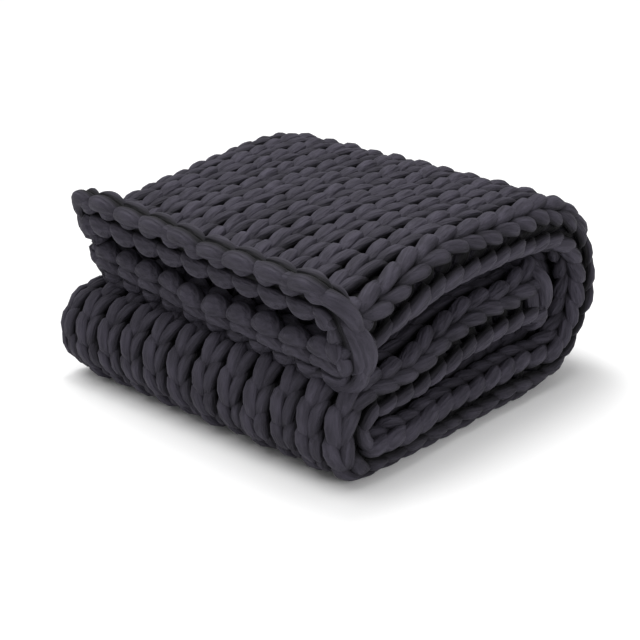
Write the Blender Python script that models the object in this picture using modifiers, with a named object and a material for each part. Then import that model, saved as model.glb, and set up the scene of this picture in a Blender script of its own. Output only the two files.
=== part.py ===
"""Chunky-knit weighted blanket, folded in half across its width and then in thirds.

One cloth, one solid.  The knitted surface itself is left to the looks; this is the
folded sheet: six layers deep, doubled over along the near long side, with its two
cast-off ends rolled outwards and its far edges rolled inwards.

Metres.  +X along the folded length (the big fold is at +X), +Y across it (the
doubled-over long side is at -Y), +Z up, origin at the middle of the underside.
"""

import math

import bmesh
import bpy
import numpy as np

NAME = "blanket"
COLOUR = (0.045, 0.044, 0.052, 1.0)   # charcoal knit
ROUGHNESS = 0.9

# ---- the folded pile ----
WIDTH = 0.62            # near fold to far edge
LENGTH = 0.62           # small fold to big fold
THICK = 0.040           # one layer of knit
SINK = 0.003            # how much of the lowest layer is pressed flat on the ground
FAR_SETTLE = 0.02       # share of its height the open far side sinks by
END_SKEW = 0.045        # how much shorter the top run stops on the far side
END_RISE = 0.022        # how much higher its far corner lies

# ---- one section along the length: middle line of the doubled cloth ----
# x, height, half the distance between the two layers
TOP_RUN = (
    (-0.310, 0.216, 0.030),
    (-0.255, 0.226, 0.031),
    (-0.190, 0.245, 0.031),
    (-0.110, 0.263, 0.029),
    (-0.030, 0.273, 0.028),
    (0.060, 0.276, 0.028),
    (0.126, 0.276, 0.028),
    (0.148, 0.276, 0.028),
)
BOTTOM_RUN = (
    (0.148, 0.048, 0.028),
    (0.126, 0.048, 0.028),
    (0.040, 0.047, 0.027),
    (-0.080, 0.044, 0.024),
    (-0.180, 0.042, 0.022),
    (-0.205, 0.0415, 0.0215),
    (-0.226, 0.0415, 0.0215),
)
MIDDLE_RUN = (
    (-0.226, 0.1265, 0.0215),
    (-0.205, 0.1265, 0.0215),
    (-0.140, 0.131, 0.023),
    (-0.050, 0.148, 0.026),
    (0.030, 0.160, 0.028),
    (0.100, 0.162, 0.028),
    (0.172, 0.162, 0.027),
)
FOLD_STEP = math.radians(30)          # spacing of the points round the two folds

# ---- one section across the width: a flattened ring, open at the far side ----
# share of the cloth's width, share of the run from near to far, way it faces (degrees)
ACROSS = (
    (0.000, 1.0, -15.0),
    (0.030, 1.0, -90.0),
    (0.464, 0.0, -90.0),
    (0.536, 0.0, -270.0),
    (0.970, 1.0, -270.0),
    (1.000, 1.0, -345.0),
)
ACROSS_STEPS = (2, 4, 6, 4, 2)        # faces in each stretch of the table

# ---- rolled ends ----
ROLL_RADIUS = 0.030
ROLL_ANGLE = math.radians(80)         # half-way down the doubled-over side
ROLL_EXTRA = math.radians(20)         # more on the layer that faces up, less on the one below
ROLL_SIDE = 0.25                      # how far the doubled-over side follows the roll
INNER_ROLL = 0.30                     # the tucked end rolls this much of the free one

# share of the cloth's length each stretch ends at, and faces in it
ALONG_STEPS = (
    (0.055, 7),      # rolled end
    (0.235, 9),      # top run
    (0.460, 16),     # big fold
    (0.690, 10),     # bottom run
    (0.775, 14),     # small fold
    (0.960, 11),     # middle run
    (1.000, 4),      # tucked end
)
FINE = 1200                           # points the middle line is measured with
HEM = 0.010                           # width of the softened edge of the hems


def fold_points(start, end):
    """Points round a half-turn from one height to another, the ends left out."""
    (x, high, half_a), (_, low, half_b) = start, end
    radius = (high - low) / 2
    side = 1 if radius > 0 else -1
    count = round(math.pi / FOLD_STEP)
    rows = []
    for i in range(1, count):
        turn = math.pi * i / count
        half = half_a + (half_b - half_a) * i / count
        rows.append((x + side * abs(radius) * math.sin(turn),
                     (high + low) / 2 + radius * math.cos(turn), half))
    return rows


def middle_line():
    """The doubled cloth's middle line, evenly spaced: x, z, half distance, direction."""
    rows = [*TOP_RUN, *fold_points(TOP_RUN[-1], BOTTOM_RUN[0]), *BOTTOM_RUN,
            *fold_points(BOTTOM_RUN[-1], MIDDLE_RUN[0]), *MIDDLE_RUN]
    points = np.array(rows)
    chord = np.linalg.norm(np.diff(points[:, :2], axis=0), axis=1)
    knots = np.concatenate([[0.0], np.cumsum(chord)])
    slopes = np.gradient(points, knots, axis=0)
    where = np.linspace(0.0, knots[-1], FINE)
    i = np.clip(np.searchsorted(knots, where, side="right") - 1, 0, len(knots) - 2)
    span = (knots[i + 1] - knots[i])[:, None]
    f = ((where - knots[i]) / span[:, 0])[:, None]
    line = ((2 * f**3 - 3 * f**2 + 1) * points[i] + (f**3 - 2 * f**2 + f) * span * slopes[i]
            + (3 * f**2 - 2 * f**3) * points[i + 1] + (f**3 - f**2) * span * slopes[i + 1])
    along = np.concatenate([[0.0], np.cumsum(np.linalg.norm(np.diff(line[:, :2], axis=0), axis=1))])
    step = np.gradient(line[:, :2], along, axis=0)
    heading = np.unwrap(np.arctan2(step[:, 1], step[:, 0]))
    return along, line[:, 0], line[:, 1], line[:, 2], heading


LINE = middle_line()


def middle_surface(across, share):
    """Middle of the cloth at a share of its width and a share of its length."""
    along, line_x, line_z, line_half, heading = LINE
    table = np.array(ACROSS)
    run = np.interp(across, table[:, 0], table[:, 1])
    facing = np.radians(np.interp(across, table[:, 0], table[:, 2]))
    out, side = np.sin(facing), np.cos(facing)

    # each layer keeps its own length round the folds
    turned = heading[0] - heading
    offset = out * np.mean(line_half)
    total = along[-1] + offset * turned[-1]
    reach = share * total
    roll = ROLL_RADIUS * (ROLL_ANGLE + ROLL_EXTRA * out)
    lift = np.zeros_like(reach)
    pulled = reach.copy()
    for distance, amount, sign in ((reach, 1.0, 1.0), (total - reach, INNER_ROLL, -1.0)):
        turn = np.clip((roll - distance) / ROLL_RADIUS, 0.0, None) * amount
        radius = ROLL_RADIUS / amount
        lift += radius * (1 - np.cos(turn))
        pulled += sign * (np.clip(roll - distance, 0.0, None) - radius * np.sin(turn))
    place = pulled.copy()
    for _ in range(30):
        place = pulled - offset * np.interp(place, along, turned)

    half = np.interp(place, along, line_half)
    ahead = np.interp(place, along, heading)
    x = np.interp(place, along, line_x) - np.sin(ahead) * (half + lift) * out
    z = np.interp(place, along, line_z) + np.cos(ahead) * (half + lift) * out
    near = -WIDTH / 2 + THICK / 2 + half
    far = WIDTH / 2 - THICK / 2 - half
    y = near + (far - near) * run + (half + lift * ROLL_SIDE) * side
    farther = np.clip((y + WIDTH / 2) / WIDTH, 0.0, 1.0)
    loose = np.where(ahead > -math.pi / 2, np.clip(0.5 - x / LENGTH, 0.0, 1.0), 0.0) ** 2
    x = x + END_SKEW * farther * loose
    z = z * (1 - FAR_SETTLE * farther**2) + END_RISE * farther**2 * loose
    return np.stack([x, y, z], axis=-1)


def divisions(ends, counts):
    """Positions from 0 to 1, each stretch cut into its own number of steps."""
    positions = [0.0]
    for end, count in zip(ends, counts):
        start = positions[-1]
        positions += [start + (end - start) * i / count for i in range(1, count + 1)]
    return positions


def folded_sheet():
    """The cloth's middle surface, a grid bent into the folded pile."""
    across = divisions([row[0] for row in ACROSS[1:]], ACROSS_STEPS)
    along = divisions(*zip(*ALONG_STEPS))
    sheet = bmesh.new()
    bmesh.ops.create_grid(sheet, x_segments=len(along) - 1, y_segments=len(across) - 1, size=0.5)
    for vert in sheet.verts:
        column = round((vert.co.x + 0.5) * (len(along) - 1))
        row = round((vert.co.y + 0.5) * (len(across) - 1))
        vert.co = middle_surface(np.array(across[row]), along[column])
    mesh = bpy.data.meshes.new("sheet")
    sheet.to_mesh(mesh)
    sheet.free()
    return mesh


def thicken(mesh):
    """Both faces and the softened hems, as one closed mesh."""
    sheet = bpy.data.objects.new("sheet", mesh)
    bpy.context.scene.collection.objects.link(sheet)
    solid = sheet.modifiers.new("thickness", "SOLIDIFY")
    solid.thickness = THICK
    solid.offset = 0.0
    solid.use_even_offset = True
    hem = sheet.modifiers.new("hem", "BEVEL")
    hem.width = HEM
    hem.segments = 1
    hem.limit_method = "ANGLE"
    hem.angle_limit = math.radians(60)
    bpy.context.view_layer.update()
    evaluated = sheet.evaluated_get(bpy.context.evaluated_depsgraph_get())
    cloth = bpy.data.meshes.new_from_object(evaluated)
    bpy.data.objects.remove(sheet, do_unlink=True)
    return cloth


def set_down(mesh):
    """Rest the pile on the ground, its lowest layer pressed flat, centred on the origin."""
    body = bmesh.new()
    body.from_mesh(mesh)
    bmesh.ops.recalc_face_normals(body, faces=body.faces)
    points = np.array([vert.co for vert in body.verts])
    low, high = points.min(axis=0), points.max(axis=0)
    middle = (low + high) / 2
    for vert in body.verts:
        vert.co.x -= middle[0]
        vert.co.y -= middle[1]
        vert.co.z = max(vert.co.z - low[2] - SINK, 0.0)
    body.to_mesh(mesh)
    body.free()


def main():
    for thing in list(bpy.data.objects):
        bpy.data.objects.remove(thing, do_unlink=True)
    mesh = thicken(folded_sheet())
    set_down(mesh)
    mesh.name = NAME

    material = bpy.data.materials.new("knit")
    material.use_nodes = True
    shader = material.node_tree.nodes["Principled BSDF"]
    shader.inputs["Base Color"].default_value = COLOUR
    shader.inputs["Roughness"].default_value = ROUGHNESS
    mesh.materials.append(material)

    blanket = bpy.data.objects.new(NAME, mesh)
    parts = bpy.data.collections.new("weighted blanket")
    bpy.context.scene.collection.children.link(parts)
    parts.objects.link(blanket)


main()
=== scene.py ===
import math

import bpy
import numpy as np
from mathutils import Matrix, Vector


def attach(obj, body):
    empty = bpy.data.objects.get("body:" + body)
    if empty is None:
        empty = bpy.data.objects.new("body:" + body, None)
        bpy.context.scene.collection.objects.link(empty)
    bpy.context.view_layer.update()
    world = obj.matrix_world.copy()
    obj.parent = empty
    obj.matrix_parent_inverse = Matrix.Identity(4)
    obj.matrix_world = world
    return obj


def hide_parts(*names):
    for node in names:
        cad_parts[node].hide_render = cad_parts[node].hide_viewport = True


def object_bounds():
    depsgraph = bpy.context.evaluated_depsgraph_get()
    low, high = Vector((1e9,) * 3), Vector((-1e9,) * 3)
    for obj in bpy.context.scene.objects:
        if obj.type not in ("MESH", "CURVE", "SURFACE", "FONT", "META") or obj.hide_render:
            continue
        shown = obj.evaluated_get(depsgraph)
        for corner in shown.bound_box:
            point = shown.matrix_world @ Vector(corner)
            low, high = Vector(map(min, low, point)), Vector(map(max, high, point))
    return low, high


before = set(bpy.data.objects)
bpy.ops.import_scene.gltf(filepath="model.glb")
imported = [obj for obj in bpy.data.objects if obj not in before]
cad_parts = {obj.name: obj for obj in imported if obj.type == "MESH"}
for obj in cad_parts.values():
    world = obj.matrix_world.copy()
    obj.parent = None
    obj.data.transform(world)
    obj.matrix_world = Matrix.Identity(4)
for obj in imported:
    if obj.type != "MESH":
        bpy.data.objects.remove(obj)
cad_box = [list(corner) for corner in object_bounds()]

# ---- the folded pile (metres) ---------------------------------------------------------
# The fold of the CAD model, with a fuller roll at the ends and a softer far side.
WIDTH = 0.62            # near fold to far edge
LENGTH = 0.62           # small fold to big fold
THICK = 0.040           # one layer of knit in the CAD model
FAR_SAG = 0.028         # how far the open far side sags, at the x and height given next
SAG_AT = -0.08
SAG_HEIGHT = 0.28
SAG_REACH = 0.20        # how far along x the sag spreads
END_SKEW = 0.045        # how much shorter the top run stops on the far side
END_RECESS = 0.30       # the share by which its lower layer exceeds that
END_RISE = 0.018        # how much higher its far corner lies
END_PULL = 0.016        # how far its far corner is drawn in
LEAN = 0.07             # slope of the big fold, which leans out at its foot
LEAN_ABOUT = 0.14       # height at which the lean moves nothing
LEAN_FULL = 0.30        # x from which the lean is full

# x, height, half the distance between the two layers
TOP_RUN = (
    (-0.302, 0.204, 0.020),
    (-0.255, 0.221, 0.028),
    (-0.190, 0.246, 0.030),
    (-0.110, 0.265, 0.029),
    (-0.030, 0.274, 0.028),
    (0.060, 0.276, 0.028),
    (0.134, 0.276, 0.028),
    (0.160, 0.276, 0.028),
)
BOTTOM_RUN = (
    (0.160, 0.048, 0.028),
    (0.134, 0.048, 0.028),
    (0.040, 0.047, 0.027),
    (-0.080, 0.044, 0.024),
    (-0.180, 0.042, 0.022),
    (-0.205, 0.0415, 0.0215),
    (-0.220, 0.0415, 0.0215),
)
MIDDLE_RUN = (
    (-0.220, 0.1265, 0.0215),
    (-0.205, 0.1265, 0.0215),
    (-0.140, 0.131, 0.023),
    (-0.050, 0.148, 0.026),
    (0.030, 0.160, 0.028),
    (0.100, 0.162, 0.028),
    (0.172, 0.162, 0.027),
)
FOLD_STEP = math.radians(30)

# share of the cloth's width, share of the run from near to far, way it faces (degrees)
ACROSS = (
    (0.000, 1.0, -15.0),
    (0.030, 1.0, -90.0),
    (0.464, 0.0, -90.0),
    (0.536, 0.0, -270.0),
    (0.970, 1.0, -270.0),
    (1.000, 1.0, -345.0),
)
# the rolled ends: radius and angle, in the upper and the lower layer
ROLL_RADII = (0.050, 0.017)
ROLL_ANGLES = (math.radians(105), math.radians(150))
ROLL_SIDE = 0.10        # share of the roll's lift that also pushes the sides out
INNER_ROLL = 0.30       # share of the roll's angle that the tucked end turns through
FINE = 1200             # points along the middle line
SETTLE = 30             # rounds that find a point's place along the middle line

# ---- the knitting --------------------------------------------------------------------
WALES = 24              # stitches across the cloth
COURSES = 43            # rows along it
LOOPS_END = COURSES + 0.5   # where the last row's loops end, in courses
EDGE = 0.62             # courses of cloth beyond the first and the last row
CHAIN_IN = 0.1          # courses from the edge of the cloth to its chain
HEM = 0.50              # how far out the half rows under the chains reach, in courses
HEM_SOFT = 0.25         # the stretch over which they are drawn up
YARN = 0.0104           # radius of the stuffed tube
WIDE = 1.06             # how much the tube is pressed wide
FLAT = 0.86             # and flat
SQUARE = 0.90           # how squarely, 1 for an oval
RING = 14               # points round the yarn
RINGS = 26              # points along one stitch
BAND = 8                # courses in one mesh
PROUD = 0.0017          # how much the far leg of each V stands above the near one
PLUMP = 0.05            # and how much thicker it is, as a share
FRONT = 0.005           # yarn further out of the cloth than this is all leg
SEED = 7

# seeded unevenness of a stitch, a leg and a chain link: across, along, out, thickness
STITCH_NUDGE = (0.024, 0.034, 0.0007, 0.035)
LEG_NUDGE = (0.012, 0.02, 0.0006, 0.04)
LINK_NUDGE = (0.03, 0.02, 0.0005, 0.04)
# slow drift of the stitches, across and along: size, radians a stitch, radians a course, start
DRIFT_ACROSS = ((0.06, 0.35, 0.55, 0.0), (0.04, -0.5, 1.3, 1.0))
DRIFT_ALONG = ((0.05, 0.80, -0.25, 0.0), (0.03, 1.9, 0.4, 0.0))
# lumps in the skin: share of the radius, more where squeezed, waves round, radians a metre, start
LUMPS = ((0.035, 0.0, 2, 37, 0.0), (0.030, 0.05, 4, -51, 1.0))
SQUEEZED = 0.4          # yarn thinner than YARN by this share is fully squeezed

# half a stitch from the dip between two stitches to the top of the loop:
# across (stitches), along (courses), out of the cloth (m), thickness
STITCH = (
    (0.000, -0.32, -0.0120, 1.18),
    (0.170, -0.32, -0.0112, 1.04),
    (0.320, -0.30, -0.0085, 0.80),
    (0.415, -0.18, -0.0040, 0.64),
    (0.412, 0.06, 0.0016, 0.76),
    (0.380, 0.38, 0.0056, 0.96),
    (0.328, 0.72, 0.0074, 1.06),
    (0.280, 1.04, 0.0074, 1.06),
    (0.248, 1.28, 0.0046, 0.96),
    (0.250, 1.42, -0.0014, 0.86),
    (0.305, 1.49, -0.0080, 0.86),
    (0.390, 1.51, -0.0112, 1.02),
    (0.500, 1.51, -0.0122, 1.18),
)
# how the yarn turns back at the end of a row: the steps to add to its last point
TURN_BACK = (
    (0, 0.25, 0.004, 0.0),
    (0, 0.60, 0.004, 0.0),
)

# ---- the chains ------------------------------------------------------------------------
LINK_PITCH = 0.063      # one chain link along the edge (m)
BUMP_PITCH = 0.055      # one bump of the rows beside the chain (m)
UPPER_FROM = 0.47       # share of the chain at which the lower layer ends and the upper begins
LINK_RINGS = 22         # points along one link
CHAIN_STEPS = 600       # points that measure the edge
CHAIN_MARGIN = 0.02     # stitches left free at each end of it
# the strands of one chain link: along the edge (links), beyond it (courses), out, thickness
LINK_BACK = (
    (-0.18, -0.06, -0.0070, 0.46),
    (0.05, 0.02, -0.0120, 0.90),
    (0.40, 0.06, -0.0145, 1.20),
    (0.80, 0.00, -0.0130, 1.16),
    (1.12, -0.14, -0.0080, 0.84),
    (1.30, -0.28, -0.0010, 0.44),
)
LINK_FRONT = (
    (-0.15, -0.02, -0.0060, 0.44),
    (0.10, 0.00, 0.0010, 0.84),
    (0.45, -0.02, 0.0065, 1.16),
    (0.85, -0.08, 0.0080, 1.14),
    (1.15, -0.22, 0.0050, 0.82),
    (1.30, -0.34, -0.0010, 0.44),
)
# the row of bumps beside the chain of the lower layer
LINK_UNDER = (
    (-0.08, -0.48, -0.0060, 0.62),
    (0.14, -0.58, -0.0120, 1.00),
    (0.50, -0.66, -0.0145, 1.26),
    (0.86, -0.58, -0.0120, 1.04),
    (1.08, -0.48, -0.0060, 0.62),
)
# the row of bumps beside the chain on the rolled back of the upper layer
LINK_BUMP = (
    (-0.04, -0.62, -0.0100, 0.50),
    (0.14, -0.68, -0.0160, 1.16),
    (0.50, -0.76, -0.0205, 1.62),
    (0.86, -0.68, -0.0160, 1.20),
    (1.04, -0.62, -0.0100, 0.50),
)
# a strand inside the first row, which closes most of its gaps
LINK_CORE = (
    (-0.10, -0.64, -0.0020, 1.16),
    (0.50, -0.66, -0.0020, 1.20),
    (1.10, -0.64, -0.0020, 1.16),
)
# one more row on the back of the lower layer, in the mouth between the two layers
LINK_MOUTH = (
    (-0.04, -0.80, -0.0150, 0.50),
    (0.14, -0.84, -0.0215, 1.10),
    (0.50, -0.88, -0.0250, 1.56),
    (0.86, -0.84, -0.0215, 1.14),
    (1.04, -0.80, -0.0150, 0.50),
)

# all strands of a chain: table, pitch, share of the edge where it begins and ends, side it shows on
LINK_ROWS = (
    (LINK_BACK, LINK_PITCH, 0, 1, -1),
    (LINK_FRONT, LINK_PITCH, 0, 1, 1),
    (LINK_CORE, LINK_PITCH, 0, 1, 1),
    (LINK_BUMP, BUMP_PITCH, UPPER_FROM, 1, -1),
    (LINK_UNDER, BUMP_PITCH, 0, UPPER_FROM, -1),
    (LINK_MOUTH, BUMP_PITCH, 0, UPPER_FROM, -1),
)
# depth that sets a link's painted shade and painted highlight: a slope over its radius, less a
# constant (m)
LINK_DEPTH = (1.35, 0.006)


# ---- fold map --------------------------------------------------------------------------
def fold_points(start, end):
    """Points round a half-turn from one height to another, the ends left out."""
    (x, high, half_a), (_, low, half_b) = start, end
    radius = (high - low) / 2
    side = 1 if radius > 0 else -1
    count = round(math.pi / FOLD_STEP)
    rows = []
    for i in range(1, count):
        turn = math.pi * i / count
        half = half_a + (half_b - half_a) * i / count
        rows.append((x + side * abs(radius) * math.sin(turn),
                     (high + low) / 2 + radius * math.cos(turn), half))
    return rows


def middle_line():
    """The doubled cloth's middle line: length along it, x, z, half distance, direction."""
    rows = [*TOP_RUN, *fold_points(TOP_RUN[-1], BOTTOM_RUN[0]), *BOTTOM_RUN,
            *fold_points(BOTTOM_RUN[-1], MIDDLE_RUN[0]), *MIDDLE_RUN]
    points = np.array(rows)
    chord = np.linalg.norm(np.diff(points[:, :2], axis=0), axis=1)
    knots = np.concatenate([[0.0], np.cumsum(chord)])
    slopes = np.gradient(points, knots, axis=0)
    where = np.linspace(0.0, knots[-1], FINE)
    i = np.clip(np.searchsorted(knots, where, side="right") - 1, 0, len(knots) - 2)
    span = (knots[i + 1] - knots[i])[:, None]
    f = ((where - knots[i]) / span[:, 0])[:, None]
    line = ((2 * f**3 - 3 * f**2 + 1) * points[i] + (f**3 - 2 * f**2 + f) * span * slopes[i]
            + (3 * f**2 - 2 * f**3) * points[i + 1] + (f**3 - f**2) * span * slopes[i + 1])
    along = np.concatenate([[0.0], np.cumsum(np.linalg.norm(np.diff(line[:, :2], axis=0), axis=1))])
    step = np.gradient(line[:, :2], along, axis=0)
    heading = np.unwrap(np.arctan2(step[:, 1], step[:, 0]))
    return along, line[:, 0], line[:, 1], line[:, 2], heading


LINE = middle_line()


def middle_surface(across, share):
    """Middle of the cloth at a share of its width and a share of its length."""
    along, line_x, line_z, line_half, heading = LINE
    table = np.array(ACROSS)
    run = np.interp(across, table[:, 0], table[:, 1])
    facing = np.radians(np.interp(across, table[:, 0], table[:, 2]))
    out, side = np.sin(facing), np.cos(facing)

    turned = heading[0] - heading
    offset = out * np.mean(line_half)
    total = along[-1] + offset * turned[-1]
    reach = share * total
    upper = 0.5 + 0.5 * out
    bend = ROLL_RADII[1] + (ROLL_RADII[0] - ROLL_RADII[1]) * upper
    roll = bend * (ROLL_ANGLES[1] + (ROLL_ANGLES[0] - ROLL_ANGLES[1]) * upper)
    lift = np.zeros_like(reach)
    pulled = reach.copy()
    for distance, amount, sign in ((reach, 1.0, 1.0), (total - reach, INNER_ROLL, -1.0)):
        turn = np.clip((roll - distance) / bend, 0.0, None) * amount
        radius = bend / amount
        lift += radius * (1 - np.cos(turn))
        pulled += sign * (np.clip(roll - distance, 0.0, None) - radius * np.sin(turn))
    place = pulled.copy()
    for _ in range(SETTLE):
        place = pulled - offset * np.interp(place, along, turned)

    half = np.interp(place, along, line_half)
    ahead = np.interp(place, along, heading)
    x = np.interp(place, along, line_x) - np.sin(ahead) * (half + lift) * out
    z = np.interp(place, along, line_z) + np.cos(ahead) * (half + lift) * out
    near = -WIDTH / 2 + THICK / 2 + half
    far = WIDTH / 2 - THICK / 2 - half
    y = near + (far - near) * run + (half + lift * ROLL_SIDE) * side
    farther = np.clip((y + WIDTH / 2) / WIDTH, 0.0, 1.0)
    loose = np.where(ahead > -math.pi / 2, np.clip(0.5 - x / LENGTH, 0.0, 1.0), 0.0) ** 2
    x = x + END_SKEW * farther * loose * (1 + END_RECESS * (1 - upper))
    y = y - END_PULL * farther**3 * loose
    sag = FAR_SAG * farther**2 * np.exp(-((x - SAG_AT) / SAG_REACH) ** 2) * z / SAG_HEIGHT
    z = z + END_RISE * farther**2 * loose - sag
    x = x - LEAN * (z - LEAN_ABOUT) * np.clip(x / LEAN_FULL, 0.0, 1.0)
    return np.stack([x, y, z], axis=-1)


def on_cloth(across, share):
    """The middle of the cloth and the direction its knit side faces."""
    small = 2e-3
    inner = np.clip(across, small, 1 - small)
    du = middle_surface(inner + small, share) - middle_surface(inner - small, share)
    dv = middle_surface(across, share + small) - middle_surface(across, share - small)
    outward = np.cross(dv, du)
    outward /= np.linalg.norm(outward, axis=-1, keepdims=True)
    return middle_surface(across, share), outward


# ---- yarn ------------------------------------------------------------------------------
rng = np.random.default_rng(SEED)   # draws follow the order in which the pieces are made


def smooth_path(rows, count):
    """A smooth line through the rows, sampled evenly by row number."""
    rows = np.asarray(rows, float)
    ext = np.vstack([2 * rows[0] - rows[1], rows, 2 * rows[-1] - rows[-2]])
    where = np.linspace(0.0, len(rows) - 1.0, count)
    i = np.minimum(where.astype(int), len(rows) - 2)
    t = (where - i)[:, None]
    a, b, c, d = ext[i], ext[i + 1], ext[i + 2], ext[i + 3]
    return 0.5 * (2 * b + (c - a) * t + (2 * a - 5 * b + 4 * c - d) * t**2
                  + (3 * b - a - 3 * c + d) * t**3)


def swell(count):
    """A column of weights that rise from nothing to one and fall again."""
    return np.sin(np.linspace(0, math.pi, count))[:, None]


def course_rows(n):
    """One course of loops, edge to edge: across, along, out, thickness."""
    half = np.array(STITCH)
    rows = []
    for k in range(WALES):
        nudge = rng.normal(0.0, 1.0, 4) * STITCH_NUDGE
        leg_nudges = rng.normal(0.0, 1.0, (2, 4)) * LEG_NUDGE
        left, right = half.copy(), half[::-1].copy()
        for leg, sign in ((left, -1), (right, 1)):
            front = np.clip(leg[:, 2:3] / FRONT, 0.0, 1.0)
            leg[:, 2:3] += sign * PROUD * front
            leg[:, 3:4] *= 1 + sign * PLUMP * front
        left[:, 0] = k + left[:, 0]
        right[:, 0] = k + 1 - right[:, 0]
        stitch = np.vstack([left, right[1:-1]])
        stitch += swell(len(stitch)) * nudge
        stitch[:len(left)] += leg_nudges[0] * swell(len(left))
        stitch[len(left):] += leg_nudges[1] * swell(len(right) - 2)
        rows.append(stitch)
    rows.append([[WALES, *half[0, 1:]]])
    course = np.vstack(rows)
    course[:, 1] += n
    return course


def drift(table, across, along):
    """Slow unevenness of hand knitting, in stitches or courses."""
    return sum(size * np.sin(by_stitch * across + by_course * along + start)
               for size, by_stitch, by_course, start in table)


def yarn_points(rows):
    """Rows in stitches and courses to points in space, outward directions, radii and depth."""
    across, along = rows[:, 0], rows[:, 1]
    fade = np.clip(np.minimum(across, WALES - across), 0.0, 1.0)
    across_now = across + drift(DRIFT_ACROSS, across, along) * fade
    along_now = along + drift(DRIFT_ALONG, across, along)
    centre, outward = on_cloth(np.clip(across_now, 0, WALES) / WALES,
                               (along_now + EDGE) / (LOOPS_END + 2 * EDGE))
    return centre + outward * rows[:, 2:3], outward, rows[:, 3] * YARN, rows[:, 2]


def tube(points, outward, radius, depth):
    """Skin of a yarn: vertices, quads, and each vertex's place on it.

    A place is the way along the yarn, the height out of the cloth and the way across the yarn.
    """
    ahead = np.gradient(points, axis=0)
    ahead /= np.linalg.norm(ahead, axis=1, keepdims=True)
    beside = np.cross(ahead, outward)
    beside /= np.linalg.norm(beside, axis=1, keepdims=True)
    up = np.cross(beside, ahead)
    angle = np.linspace(0, 2 * math.pi, RING, endpoint=False)
    run = np.concatenate([[0.0], np.cumsum(np.linalg.norm(np.diff(points, axis=0), axis=1))])
    # the stuffing lies unevenly, and the skin puckers where the yarn is squeezed
    squeeze = np.clip((1.0 - radius / YARN) / SQUEEZED, 0.0, 1.0)[:, None]
    uneven = sum((size + more * squeeze) * np.sin(waves * angle[None] + pace * run[:, None] + start)
                 for size, more, waves, pace, start in LUMPS)
    flat = FLAT * np.sign(np.cos(angle)) * np.abs(np.cos(angle)) ** SQUARE
    wide = WIDE * np.sign(np.sin(angle)) * np.abs(np.sin(angle)) ** SQUARE
    ring = flat[None, :, None] * up[:, None] + wide[None, :, None] * beside[:, None]
    verts = points[:, None] + ring * (radius[:, None] * (1 + uneven))[:, :, None]
    place = np.empty((len(points), RING, 3))
    place[:, :, 0] = run[:, None]
    # the height out of the cloth, from which the material paints shade in the seams and highlight
    # on the tops
    place[:, :, 1] = depth[:, None] + FLAT * radius[:, None] * np.cos(angle)
    place[:, :, 2] = YARN * np.sin(angle)
    index = np.arange(len(points) * RING).reshape(-1, RING)
    quads = np.stack([index[:-1], np.roll(index[:-1], -1, 1),
                      np.roll(index[1:], -1, 1), index[1:]], -1).reshape(-1, 4)
    return verts.reshape(-1, 3), quads, place.reshape(-1, 3)


def yarn_mesh(name, strands, material):
    """One mesh from several strands: each one's middle, outward direction, radius and depth."""
    verts, places, loops, sizes = [], [], [], []
    base = 0
    for points, outward, radius, depth in strands:
        skin, quads, place = tube(points, outward, radius, depth)
        # each open end is closed by a fan round its middle point
        last, tip = len(skin) - RING, len(skin)
        ring = np.arange(RING)
        turned = np.roll(ring, -1)
        ends = np.vstack([np.stack([turned, ring, np.full(RING, tip)], 1),
                          np.stack([last + ring, last + turned, np.full(RING, tip + 1)], 1)])
        verts += [skin, points[:1], points[-1:]]
        places += [place, place[:1], place[-1:]]
        loops += [(quads + base).ravel(), (ends + base).ravel()]
        sizes += [np.full(len(quads), 4), np.full(len(ends), 3)]
        base += len(skin) + 2
    verts, loops, sizes = np.vstack(verts), np.concatenate(loops), np.concatenate(sizes)
    mesh = bpy.data.meshes.new(name)
    mesh.vertices.add(len(verts))
    mesh.vertices.foreach_set("co", verts.astype(np.float32).ravel())
    mesh.loops.add(len(loops))
    mesh.loops.foreach_set("vertex_index", loops.astype(np.int32))
    mesh.polygons.add(len(sizes))
    mesh.polygons.foreach_set("loop_start", (np.cumsum(sizes) - sizes).astype(np.int32))
    mesh.polygons.foreach_set("use_smooth", np.ones(len(sizes), bool))
    layer = mesh.attributes.new("yarn", "FLOAT_VECTOR", "POINT")
    layer.data.foreach_set("vector", np.vstack(places).astype(np.float32).ravel())
    mesh.update(calc_edges=True)
    mesh.validate()
    mesh.materials.append(material)
    piece = bpy.data.objects.new(name, mesh)
    bpy.context.scene.collection.objects.link(piece)
    return piece


def band_strand(first, last):
    """Courses first to last as one yarn that turns back at each edge."""
    rows = []
    for n in range(first, last):
        course = course_rows(n)
        if n % 2:
            course = course[::-1]
        rows.append(course)
        if n + 1 < last:
            rows.append(course[-1] + np.array(TURN_BACK))
    rows = np.vstack(rows)
    # the half rows under the chains are drawn up short, and never quite reach the hem
    for hem, sign in ((-HEM, 1), (LOOPS_END + HEM, -1)):
        room = sign * (rows[:, 1] - hem) / HEM_SOFT
        drawn = np.where(room < 1, np.exp(np.minimum(room, 1) - 1), room)
        rows[:, 1] = hem + sign * HEM_SOFT * drawn
    return yarn_points(smooth_path(rows, (last - first) * WALES * RINGS))


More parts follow.
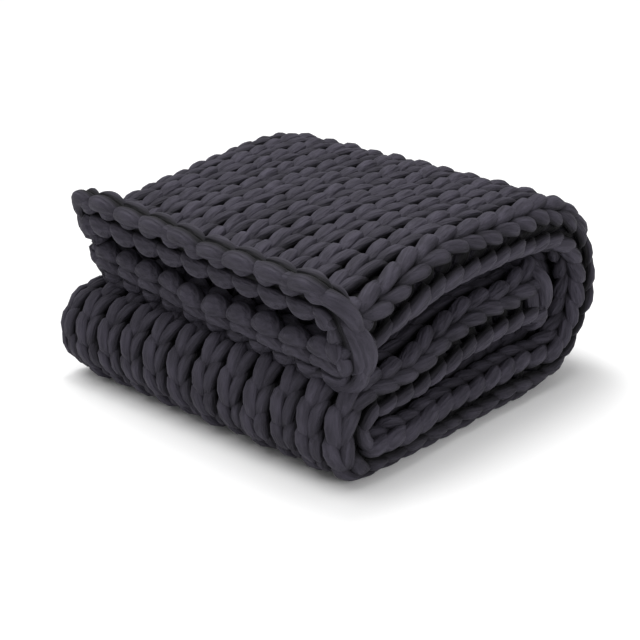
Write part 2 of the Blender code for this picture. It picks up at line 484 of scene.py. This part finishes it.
def chain_strands(edge, way):
    """The chain that finishes an end; way is -1 at the start of the cloth, 1 at its end."""
    across = np.linspace(CHAIN_MARGIN, WALES - CHAIN_MARGIN, CHAIN_STEPS)
    level = np.ones(CHAIN_STEPS)
    line = yarn_points(np.stack([across, edge * level, 0 * level, level], 1))[0]
    run = np.concatenate([[0.0], np.cumsum(np.linalg.norm(np.diff(line, axis=0), axis=1))])
    strands = []
    for table, pitch, begin, end, face in LINK_ROWS:
        links = round(run[-1] / pitch)
        first = math.ceil(begin * links - 0.5) if begin else -1
        last = math.ceil(end * links - 0.5) if end < 1 else links
        for k in range(first, last):
            rows = smooth_path(table, LINK_RINGS)
            nudge = rng.normal(0.0, 1.0, 4) * LINK_NUDGE
            place = rows[:, 0] + k + 0.5 + nudge[0]
            rows[:, 0] = np.interp(place / links * run[-1], run, across)
            rows[:, 1] = edge + way * (rows[:, 1] + nudge[1])
            rows[:, 2] += nudge[2]
            rows[:, 3] *= 1 + nudge[3]
            points, outward, radius, _ = yarn_points(rows)
            depth = face * (LINK_DEPTH[0] * radius - LINK_DEPTH[1])
            strands.append((points, outward, radius, depth))
    return strands


# ---- material --------------------------------------------------------------------------
CHARCOAL = (0.0215, 0.0196, 0.0268)
PATCHY = (0.82, 1.20)           # slow change of colour over the cloth, as shares of it
CREASE_PAINTED_SHADES = (0.76, 1.24)            # painted shade in the creases and painted light on their ridges, as shares of the colour
SEAM_DEPTHS = (0.0015, 0.0180)  # heights out of the cloth over which the painted shade turns into painted highlight (m)
SEAM_PAINTED_SHADE_AND_HIGHLIGHT = (0.06, 1.74)      # painted shade and painted highlight at those heights, as shares of the colour


def jersey():
    """Matte charcoal jersey with creases along the yarn and fine fibres, painted shade in the seams
    and creases, and painted highlight on the tops of the stitches.
    """
    material = bpy.data.materials.new("knit")
    material.use_nodes = True
    nodes, links = material.node_tree.nodes, material.node_tree.links

    def noise(vector, *, scale, detail):
        node = nodes.new("ShaderNodeTexNoise")
        node.inputs["Scale"].default_value = scale
        node.inputs["Detail"].default_value = detail
        links.new(vector, node.inputs["Vector"])
        return node.outputs["Fac"]

    def spread(value, given, wanted, kind):
        node = nodes.new("ShaderNodeMapRange")
        node.interpolation_type = kind
        for name, number in zip(("From Min", "From Max", "To Min", "To Max"), (*given, *wanted)):
            node.inputs[name].default_value = number
        links.new(value, node.inputs["Value"])
        return node.outputs["Result"]

    def combine(operation, *values):
        node = nodes.new("ShaderNodeMath")
        node.operation = operation
        for socket, value in zip(node.inputs, values):
            links.new(value, socket)
        return node.outputs["Value"]

    def bump(height, *, strength, distance):
        node = nodes.new("ShaderNodeBump")
        node.inputs["Strength"].default_value = strength
        node.inputs["Distance"].default_value = distance
        links.new(height, node.inputs["Height"])
        return node

    shader = nodes["Principled BSDF"]
    shader.inputs["Roughness"].default_value = 0.72
    shader.inputs["Specular IOR Level"].default_value = 0.14
    shader.inputs["Sheen Weight"].default_value = 0.03
    shader.inputs["Sheen Roughness"].default_value = 0.45
    shader.inputs["Sheen Tint"].default_value = (0.62, 0.60, 0.68, 1.0)

    place = nodes.new("ShaderNodeTexCoord").outputs["Object"]
    on_yarn = nodes.new("ShaderNodeAttribute")
    on_yarn.attribute_name = "yarn"

    tint = nodes.new("ShaderNodeValToRGB")
    for stop, position, share in zip(tint.color_ramp.elements, (0.30, 0.72), PATCHY):
        stop.position = position
        stop.color = (*[share * c for c in CHARCOAL], 1.0)
    links.new(noise(place, scale=26.0, detail=3.0), tint.inputs["Fac"])

    # creases are long along the yarn and short across it
    stretch = nodes.new("ShaderNodeMapping")
    stretch.inputs["Scale"].default_value = (28.0, 190.0, 190.0)
    links.new(on_yarn.outputs["Vector"], stretch.inputs["Vector"])
    crease = noise(stretch.outputs["Vector"], scale=1.0, detail=3.0)
    # painted shade: the colour is darker in the creases of the bump and lighter on their ridges
    crease_painted_shade = spread(crease, (0.35, 0.65), CREASE_PAINTED_SHADES, "LINEAR")

    # painted shade: yarn that lies deep in the cloth, in the seams between stitches, is painted
    # darker, and yarn high out of the cloth is painted lighter as a highlight
    axes = nodes.new("ShaderNodeSeparateXYZ")
    links.new(on_yarn.outputs["Vector"], axes.inputs["Vector"])
    height = combine("ABSOLUTE", axes.outputs["Y"])
    painted_depth_shade = spread(height, SEAM_DEPTHS, SEAM_PAINTED_SHADE_AND_HIGHLIGHT, "SMOOTHSTEP")

    # the colour with its painted shade and painted highlight
    shade = nodes.new("ShaderNodeVectorMath")
    shade.operation = "SCALE"
    links.new(tint.outputs["Color"], shade.inputs[0])
    links.new(combine("MULTIPLY", crease_painted_shade, painted_depth_shade), shade.inputs["Scale"])
    links.new(shade.outputs["Vector"], shader.inputs["Base Color"])

    creased = bump(crease, strength=0.90, distance=0.006)
    fibres = bump(noise(place, scale=900.0, detail=2.0), strength=0.30, distance=0.0005)
    links.new(creased.outputs["Normal"], fibres.inputs["Normal"])
    links.new(fibres.outputs["Normal"], shader.inputs["Normal"])
    return material


# ---- the blanket -----------------------------------------------------------------------
SINK = 0.006            # how far below the ground the lowest yarn is before it is pressed flat
PRESSED = 0.004         # below this height the yarn is pressed flat

knit = jersey()
parts = []
for first in range(-1, COURSES + 1, BAND):
    last = min(first + BAND, COURSES + 1)
    parts.append(yarn_mesh(f"knit_{first + 1:02d}", [band_strand(first, last)], knit))
parts.append(yarn_mesh("chain_start", chain_strands(-EDGE + CHAIN_IN, -1), knit))
parts.append(yarn_mesh("chain_end", chain_strands(LOOPS_END + EDGE - CHAIN_IN, 1), knit))

corners = np.array([corner[:] for part in parts for corner in part.bound_box])
low, high = corners.min(axis=0), corners.max(axis=0)
for part in parts:
    mesh = part.data
    points = np.empty(3 * len(mesh.vertices), np.float32)
    mesh.vertices.foreach_get("co", points)
    points = points.reshape(-1, 3)
    # centred on the CAD model's box
    for axis in (0, 1):
        points[:, axis] += (cad_box[0][axis] + cad_box[1][axis]) / 2 - (low[axis] + high[axis]) / 2
    # pressed flat where it lies on the ground
    points[:, 2] -= low[2] + SINK
    under = points[:, 2] < PRESSED
    points[under, 2] = PRESSED * np.exp((points[under, 2] - PRESSED) / PRESSED)
    mesh.vertices.foreach_set("co", points.ravel())
    mesh.update()
    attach(part, "root")
    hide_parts("blanket")

# ---- floor, lights, camera ---------------------------------------------------------------
FLOOR = 6.0             # half the floor's side
floor_mesh = bpy.data.meshes.new("floor")
floor_corners = [(-FLOOR, -FLOOR, 0), (FLOOR, -FLOOR, 0), (FLOOR, FLOOR, 0), (-FLOOR, FLOOR, 0)]
floor_mesh.from_pydata(floor_corners, [], [(0, 1, 2, 3)])
floor = bpy.data.objects.new("floor", floor_mesh)
bpy.context.scene.collection.objects.link(floor)
paper = bpy.data.materials.new("floor")
paper.use_nodes = True
paper_shader = paper.node_tree.nodes["Principled BSDF"]
paper_shader.inputs["Base Color"].default_value = (0.9, 0.9, 0.9, 1)
paper_shader.inputs["Roughness"].default_value = 0.9
floor_mesh.materials.append(paper)

world = bpy.data.worlds.new("studio")
world.use_nodes = True
surround = world.node_tree.nodes["Background"]
surround.inputs["Color"].default_value = (1.0, 1.0, 1.0, 1.0)
surround.inputs["Strength"].default_value = 0.48
bpy.context.scene.world = world


def area_light(name, place, aim, *, size, power):
    """A square soft light that looks from one place towards another."""
    light = bpy.data.lights.new(name, "AREA")
    light.size = size
    light.energy = power
    lamp = bpy.data.objects.new(name, light)
    lamp.location = place
    lamp.rotation_euler = (Vector(aim) - Vector(place)).to_track_quat("-Z", "Y").to_euler()
    bpy.context.scene.collection.objects.link(lamp)


area_light("top", (0.1, 0.3, 2.0), (0, 0, 0.2), size=0.8, power=16)
area_light("front", (-0.7, -2.4, 1.2), (0, 0, 0.15), size=1.0, power=21)

sun = bpy.data.objects.new("sky", bpy.data.lights.new("sky", "SUN"))
sun.data.energy = 2.1
sun.data.angle = math.radians(65)
sun.rotation_euler = Vector((0.20, -0.32, -1.0)).to_track_quat("-Z", "Y").to_euler()
bpy.context.scene.collection.objects.link(sun)

# the azimuth is 0 from -Y and 90 degrees from +X
AZIMUTH = math.radians(-47.0)
ELEVATION = math.radians(22.34)
DISTANCE = 2.377
LENS = 85.3
AIM = (-0.0145, 0.0091, 0.0924)
back = Vector((math.sin(AZIMUTH) * math.cos(ELEVATION),
               -math.cos(AZIMUTH) * math.cos(ELEVATION),
               math.sin(ELEVATION)))
camera = bpy.data.objects.new("camera", bpy.data.cameras.new("camera"))
camera.data.lens = LENS
camera.data.sensor_width = 36.0
camera.location = Vector(AIM) + back * DISTANCE
camera.rotation_euler = (-back).to_track_quat("-Z", "Y").to_euler()
bpy.context.scene.collection.objects.link(camera)
bpy.context.scene.camera = camera
bpy.context.scene.view_settings.view_transform = "Standard"
